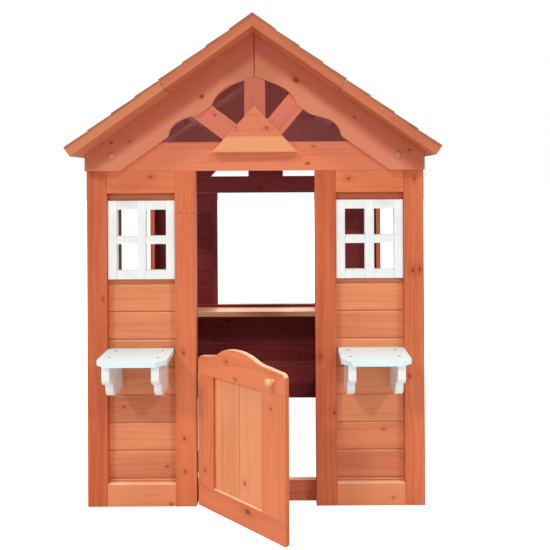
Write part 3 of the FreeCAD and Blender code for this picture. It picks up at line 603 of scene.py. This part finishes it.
def grain_frame(faces):
    """A board's own axes: along its longest edge, across its widest face, and through it."""
    edges = {edge for face in faces for edge in face.edges}
    longest = max(edges, key=lambda edge: (round(edge.calc_length(), 5), -edge.index))
    along = (longest.verts[1].co - longest.verts[0].co).normalized()
    sides = (face for face in faces if abs(face.normal.dot(along)) < SIDE_LIMIT)
    widest = max(sides, key=lambda face: round(face.calc_area(), 7))
    through = widest.normal.copy()
    along = turned_up((along - through * along.dot(through)).normalized())
    through = turned_up(through)
    across = turned_up(through.cross(along).normalized())
    points = [vert.co for face in faces for vert in face.verts]
    spans = []
    for axis in (along, across, through):
        values = [p.dot(axis) for p in points]
        spans.append((min(values), max(values)))
    return (along, across, through), spans


def ease_edges(bm, edges, ease):
    """Rounds the edges off and returns the new arris faces."""
    made = bmesh.ops.bevel(
        bm, geom=edges, offset=ease, offset_type="OFFSET", segments=EASE_SEGMENTS, profile=EASE_PROFILE,
        affect="EDGES", clamp_overlap=True, material=-1)
    return made["faces"]


def eased_mesh(node, ease):
    """The CAD node's solids with whole flat faces and eased arrises, and the numbers of its arris faces."""
    bm = bmesh.new()
    bm.from_mesh(frame["nodes"][node].data)
    bmesh.ops.remove_doubles(bm, verts=bm.verts, dist=WELD)
    bmesh.ops.dissolve_limit(bm, angle_limit=FLAT_ANGLE, verts=bm.verts, edges=bm.edges)
    bm.normal_update()
    sharp = [e for e in bm.edges if len(e.link_faces) == 2 and e.calc_face_angle() > SHARP_ANGLE]
    arrises = ease_edges(bm, sharp, ease)
    bm.normal_update()
    bm.edges.index_update()
    bm.faces.index_update()
    return bm, {face.index for face in arrises}


def chosen_knots(node, number, spans):
    """A board's knots, as (along, across, radius) in its own frame: placed ones, or a few at random."""
    (low, high), (left, right), _ = spans
    length = high - low
    width = right - left
    placed = [knot for knot in PLACED_KNOTS.get(node, []) if knot[0] == number]
    if node in PLACED_KNOTS:
        return [((share - 0.5) * length, side * width, radius) for _, share, side, radius in placed]
    count = min(KNOTS_PER_BOARD, int(length / KNOT_SPACING + random.random()))
    knots = []
    for _ in range(count):
        along = (random.random() - 0.5) * length * KNOT_SPREAD_ALONG
        across = (random.random() - 0.5) * width * KNOT_SPREAD_ACROSS
        knots.append((along, across, random.uniform(*KNOT_RADII)))
    return knots


def on_inner_wall(face):
    """Whether a face below the gables looks into the house, where painted shade darkens the stain."""
    place = face.calc_center_median()
    normal = face.normal
    if place.z > WALL_TOP:
        return False
    if abs(place.x) > INSIDE_HALF_WIDTH and place.x * normal.x < -INWARD * abs(place.x):
        return True
    if abs(place.y - FRONT_INNER) < EDGE_SLACK:
        return normal.y > INWARD
    return abs(place.y - BACK_INNER) < EDGE_SLACK and normal.y < -INWARD


def is_under_roof(face):
    """Whether a face lies between the gables under the roof, where a pinkish tone is painted on as shade."""
    place = face.calc_center_median()
    within = FRONT_INNER - EDGE_SLACK < place.y < BACK_INNER + EDGE_SLACK
    return place.z > WALL_TOP and within and abs(place.x) < INSIDE_HALF_WIDTH and face.normal.z < INWARD


def write_grain(bm, mesh, node, arrises):
    """Stores each board's grain frame, seed, tint and knots on its mesh for the wood shader."""
    knot_names = [f"knot_{i}" for i in range(KNOTS_PER_BOARD)]
    layers = [(name, "FLOAT_VECTOR", "POINT") for name in ["board_place"] + knot_names]
    layers += [(name, "FLOAT", "POINT") for name in ("board_seed", "board_tint")]
    layers += [(name, "FLOAT", "FACE") for name in FACE_LAYERS]
    for layer in layers:
        mesh.attributes.new(*layer)
    place, seed, tint = (mesh.attributes[name].data for name in ("board_place", "board_seed", "board_tint"))
    end, arris, inner, under, ledge = (mesh.attributes[name].data for name in FACE_LAYERS)
    door_along = Vector((0, 0, 0))
    if node in DOOR_NODES:
        door_along = door_directions()[0]
    knots = [mesh.attributes[name].data for name in knot_names]
    for number, faces in enumerate(islands(bm)):
        axes, spans = grain_frame(faces)
        middle = [(low + high) / 2 for low, high in spans]
        board_seed = random.uniform(0.0, SEED_RANGE)
        board_tint = TONES.get(node, random.random())
        found = chosen_knots(node, number, spans)
        found += [NO_KNOT] * (KNOTS_PER_BOARD - len(found))
        for vert in {vert for face in faces for vert in face.verts}:
            local = [vert.co.dot(axis) - centre for axis, centre in zip(axes, middle)]
            place[vert.index].vector = local
            seed[vert.index].value = board_seed
            tint[vert.index].value = board_tint
            for knot_layer, knot in zip(knots, found):
                knot_layer[vert.index].vector = knot
        for face in faces:
            # Faces across the door's width count too: their dark tone is painted shade, in the recess and on
            # the edges.
            end_or_door_side = max(abs(face.normal.dot(axes[0])), abs(face.normal.dot(door_along)))
            end[face.index].value = float(end_or_door_side > END_LIMIT)
            arris[face.index].value = float(face.index in arrises)
            # Painted shade inside the house and under the roof, and a painted highlight on upward faces.
            inner[face.index].value = float(on_inner_wall(face))
            under[face.index].value = float(is_under_roof(face))
            ledge[face.index].value = float(face.normal.z > LEDGE_LIMIT)


def body_of(node):
    for body, members in frame["record"]["behaviour"]["bodies"].items():
        if node in members:
            return body
    return "house"


def object_from(mesh, name, material):
    """A smooth-shaded object in the scene."""
    mesh.polygons.foreach_set("use_smooth", [True] * len(mesh.polygons))
    mesh.materials.append(material)
    piece = bpy.data.objects.new(name, mesh)
    bpy.context.scene.collection.objects.link(piece)
    return piece


def assign(piece, body, nodes):
    """Attaches the piece to its body and hides the CAD nodes that it stands for."""
    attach(piece, body)
    if nodes:
        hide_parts(*nodes)
    return piece


def wooden_piece(bm, name, material, body, nodes, arrises, grain_node):
    """Finishes a piece that has a grain frame on every board."""
    bm.normal_update()
    bm.verts.index_update()
    bm.faces.index_update()
    mesh = bpy.data.meshes.new(name)
    bm.to_mesh(mesh)
    write_grain(bm, mesh, grain_node, set(arrises))
    bm.free()
    piece = object_from(mesh, name, material)
    weighted = piece.modifiers.new("even_faces", "WEIGHTED_NORMAL")
    weighted.mode = "FACE_AREA"
    weighted.weight = 100
    weighted.keep_sharp = False
    return assign(piece, body, nodes)


def plain_piece(bm, name, material, body, nodes=()):
    """Finishes a turned or metal piece, which needs no grain frame."""
    mesh = bpy.data.meshes.new(name)
    bm.to_mesh(mesh)
    bm.free()
    return assign(object_from(mesh, name, material), body, nodes)


def make_boards(node, ease, material):
    """The finished boards of one CAD node."""
    bm, arrises = eased_mesh(node, ease)
    return wooden_piece(bm, node + "_wood", material, body_of(node), [node], arrises, node)


def add_stick(bm, low, high, ease):
    """Adds a box-shaped stick with eased arrises and returns its arris faces."""
    made = bmesh.ops.create_cube(bm, size=1.0)
    size = high - low
    for vert in made["verts"]:
        vert.co = Vector([low[i] + (vert.co[i] + 0.5) * size[i] for i in range(3)])
    edges = {edge for vert in made["verts"] for edge in vert.link_edges}
    return ease_edges(bm, list(edges), ease)


def make_window(node, material):
    """A joined window frame: three full-height bars with short rails and cross bars between them."""
    low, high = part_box(node)
    bar = WINDOW_BAR
    middle_x = (low.x + high.x) / 2
    middle_z = (low.z + high.z) / 2
    half = WINDOW_CROSS_BAR / 2
    columns = [(low.x, low.x + bar), (middle_x - bar / 2, middle_x + bar / 2), (high.x - bar, high.x)]
    rows = [(low.z, low.z + bar), (middle_z - half, middle_z + half), (high.z - bar, high.z)]
    sticks = [(x0, x1, low.z, high.z, 0.0) for x0, x1 in columns]
    for before, after in zip(columns[:-1], columns[1:]):
        x0 = before[1] + WINDOW_JOINT
        x1 = after[0] - WINDOW_JOINT
        sticks += [(x0, x1, z0, z1, WINDOW_STEP) for z0, z1 in rows]
    bm = bmesh.new()
    arrises = []
    for x0, x1, z0, z1, step in sticks:
        start = Vector((x0, low.y + step, z0))
        end = Vector((x1, high.y - step, z1))
        arrises += add_stick(bm, start, end, WINDOW_EASE)
    bm.faces.index_update()
    numbers = [face.index for face in arrises if face.is_valid]
    name = node + "_paint"
    return wooden_piece(bm, name, material, "house", [node], numbers, name)


def lathe(bm, profile, origin, axis, steps):
    """Adds a turned shape: (distance out along the axis, radius) points swung round the axis."""
    side = axis.orthogonal().normalized()
    other = axis.cross(side).normalized()
    rings = []
    for out, radius in profile:
        centre = origin + axis * out
        if radius == 0.0:
            rings.append([bm.verts.new(centre)])
            continue
        ring = []
        for step in range(steps):
            angle = 2 * math.pi * step / steps
            ring.append(bm.verts.new(centre + (side * math.cos(angle) + other * math.sin(angle)) * radius))
        rings.append(ring)
    for near_ring, far_ring in zip(rings[:-1], rings[1:]):
        for step in range(steps):
            after = (step + 1) % steps
            if len(near_ring) == 1:
                corners = (near_ring[0], far_ring[step], far_ring[after])
            elif len(far_ring) == 1:
                corners = (near_ring[step], far_ring[0], near_ring[after])
            else:
                corners = (near_ring[step], far_ring[step], far_ring[after], near_ring[after])
            bm.faces.new(corners)
    bmesh.ops.recalc_face_normals(bm, faces=bm.faces)


# ---- Small turned pieces ----
def door_directions():
    """Along the door from its hinge, and square out of its outer face."""
    bm, _ = eased_mesh("door_bottom_rail", BOARD_EASE)
    axes, _ = grain_frame(islands(bm)[0])
    bm.free()
    along = axes[0]
    return along, along.cross(Vector((0, 0, 1))).normalized()


def make_knob(material):
    """A turned knob: a collar on the door, a waisted neck and a slightly flattened ball."""
    low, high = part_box("door_knob")
    _, outward = door_directions()
    points = [vert.co for vert in frame["nodes"]["door_knob"].data.vertices]
    outs = [p.dot(outward) for p in points]
    middle = (low + high) / 2
    back = middle + outward * (min(outs) - middle.dot(outward))
    reach = max(outs) - min(outs)
    radius = (high.z - low.z) / 2
    profile = [(reach * out, radius * share) for out, share in KNOB_NECK]
    ball_centre = reach * KNOB_BALL_CENTRE
    half_depth = reach - ball_centre
    for step in range(KNOB_BALL_STEPS + 1):
        angle = math.radians(KNOB_BALL_START - step * KNOB_BALL_START / KNOB_BALL_STEPS)
        profile.append((ball_centre + half_depth * math.cos(angle), radius * math.sin(angle)))
    profile[-1] = (reach, 0.0)
    bm = bmesh.new()
    lathe(bm, profile, back, outward, KNOB_SIDES)
    return plain_piece(bm, "turned_door_knob", material, "door", ["door_knob"])


def make_bolt_caps(material):
    """Domed caps with a thin flange, one over each bolt at the barge boards' feet."""
    low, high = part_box("barge_bolts")
    outward = Vector((0, -1, 0))
    radius = (high.z - low.z) / 2
    face_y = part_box("front_barge_board_left")[0].y
    proud = face_y - low.y
    dome = radius * CAP_DOME_RADIUS
    profile = [(0.0, 0.0), (0.0, radius), (proud * CAP_FLANGE, radius), (proud * CAP_DOME_START, dome)]
    for step in range(1, CAP_STEPS + 1):
        angle = math.radians(step * 90 / CAP_STEPS)
        rise = CAP_DOME_START + (1 - CAP_DOME_START) * math.sin(angle)
        profile.append((proud * rise, dome * math.cos(angle)))
    profile[-1] = (proud, 0.0)
    bm = bmesh.new()
    for x in (low.x + radius, high.x - radius):
        lathe(bm, profile, Vector((x, face_y, (low.z + high.z) / 2)), outward, CAP_SIDES)
    return plain_piece(bm, "barge_bolt_caps", material, "house", ["barge_bolts"])


def nail_head(bm, place, outward):
    """A small domed nail head, let in so that it only just stands proud."""
    profile = [(-NAIL_SINK, NAIL_RADIUS * NAIL_ROOT)]
    profile += [(NAIL_HEIGHT * out, NAIL_RADIUS * share) for out, share in NAIL_DOME]
    lathe(bm, profile, place, outward, NAIL_SIDES)


def make_wall_nails(material):
    """Nail heads near both ends of every plank of the back and side walls, except the narrowest."""
    bm = bmesh.new()
    for node in WALL_PLANKS:
        source, _ = eased_mesh(node, PLANK_EASE)
        for faces in islands(source):
            axes, spans = grain_frame(faces)
            outward = outward_side(node)
            through = axes[2] if axes[2].dot(outward) > 0 else -axes[2]
            values = [vert.co.dot(through) for face in faces for vert in face.verts]
            (low, high), (left, right), _ = spans
            if right - left < NAILED_WIDTH:
                continue
            for along in (low + NAIL_INSET, high - NAIL_INSET):
                place = axes[0] * along + axes[1] * (left + right) / 2 + through * max(values)
                nail_head(bm, place, through)
        source.free()
    return plain_piece(bm, "wall_nails", material, "house")


def make_post_nails(material):
    """Three nails in a row, high on the left door post."""
    low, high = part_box("front_door_post_left")
    bm = bmesh.new()
    for share in POST_NAIL_SHARES:
        nail_head(bm, Vector((low.x + (high.x - low.x) * share, low.y, POST_NAIL_Z)), Vector((0, -1, 0)))
    return plain_piece(bm, "post_nails", material, "house")


def outward_side(node):
    if node.endswith("left"):
        return Vector((-1, 0, 0))
    if node.endswith("right"):
        return Vector((1, 0, 0))
    return Vector((0, 1, 0))


# ---- Setting ----
def make_floor(material):
    bm = bmesh.new()
    bmesh.ops.create_grid(bm, x_segments=FLOOR_SQUARES, y_segments=FLOOR_SQUARES, size=FLOOR_SIZE)
    mesh = bpy.data.meshes.new("floor")
    bm.to_mesh(mesh)
    bm.free()
    mesh.materials.append(material)
    floor = bpy.data.objects.new("floor", mesh)
    floor.location.z = -FLOOR_DROP
    bpy.context.scene.collection.objects.link(floor)


def make_light(name, direction, strength, angle, colour):
    """A soft sun that shines along a direction."""
    light = bpy.data.lights.new(name, "SUN")
    light.energy = strength
    light.angle = math.radians(angle)
    light.color = colour
    lamp = bpy.data.objects.new(name, light)
    lamp.rotation_mode = "QUATERNION"
    lamp.rotation_quaternion = Vector(direction).to_track_quat("-Z", "Y")
    bpy.context.scene.collection.objects.link(lamp)


def make_world(seen, lit):
    """White to the camera and in reflections, dimmer as a light."""
    world = bpy.data.worlds.new("studio")
    bpy.context.scene.world = world
    world.use_nodes = True
    tree = world.node_tree
    tree.nodes.clear()
    path = add_node(tree, "ShaderNodeLightPath")
    camera_side = add_node(tree, "ShaderNodeBackground", {"Color": rgb(1, 1, 1), "Strength": seen})
    light_side = add_node(tree, "ShaderNodeBackground", {"Color": rgb(1.0, 0.985, 0.97), "Strength": lit})
    bright = math_node(tree, "MAXIMUM", path.outputs["Is Camera Ray"], path.outputs["Is Glossy Ray"])
    sides = {0: bright, 1: light_side.outputs[0], 2: camera_side.outputs[0]}
    mixed = add_node(tree, "ShaderNodeMixShader", sides)
    output = add_node(tree, "ShaderNodeOutputWorld", {"Surface": mixed.outputs[0]})
    output.is_active_output = True


def make_camera():
    data = bpy.data.cameras.new("camera")
    data.lens = CAMERA_LENS
    data.sensor_width = CAMERA_SENSOR
    data.shift_x, data.shift_y = CAMERA_SHIFT
    data.clip_start, data.clip_end = CAMERA_CLIP
    camera = bpy.data.objects.new("camera", data)
    bpy.context.scene.collection.objects.link(camera)
    tilt = Matrix.Rotation(CAMERA_TILT, 4, "X")
    camera.matrix_world = Matrix.Translation(CAMERA_PLACE) @ tilt @ Matrix.Rotation(CAMERA_ROLL, 4, "Z")
    bpy.context.scene.camera = camera


def make_setting():
    make_floor(floor_material())
    for name, values in LIGHTS.items():
        make_light(name, *values)
    make_world(WORLD_SEEN, WORLD_LIGHT)
    make_camera()
    bpy.context.scene.view_settings.view_transform = "Standard"


# ---- The house ----
def make_house():
    woods = {}
    for name, (light, dark, others) in WOODS.items():
        woods[name] = wood_material(name + "_wood", light, dark, **others)
    paint = paint_material("white_paint", rgb(0.86, 0.88, 0.86), rgb(0.79, 0.82, 0.80))
    shelf_paint = paint_material("shelf_paint", rgb(0.70, 0.88, 0.88), rgb(0.65, 0.83, 0.84))
    bronze = bronze_material()

    for nodes, wood, ease in BOARDS:
        for node in nodes:
            make_boards(node, ease, woods[wood])
    for side in ("left", "right"):
        make_window("window_" + side, paint)
        make_boards("flower_shelf_" + side, PAINTED_EASE, shelf_paint)
        make_boards("shelf_brackets_" + side, PAINTED_EASE, paint)
    make_knob(knob_material())
    make_bolt_caps(cap_material())
    make_wall_nails(bronze)
    make_post_nails(bronze)
    for node in METAL_NODES:
        frame["nodes"][node].data.materials.clear()
        frame["nodes"][node].data.materials.append(bronze)


def write_sizes():
    """Only imports json: no box of the CAD model or of the visual model is written."""
    import json


make_house()
make_setting()
write_sizes()
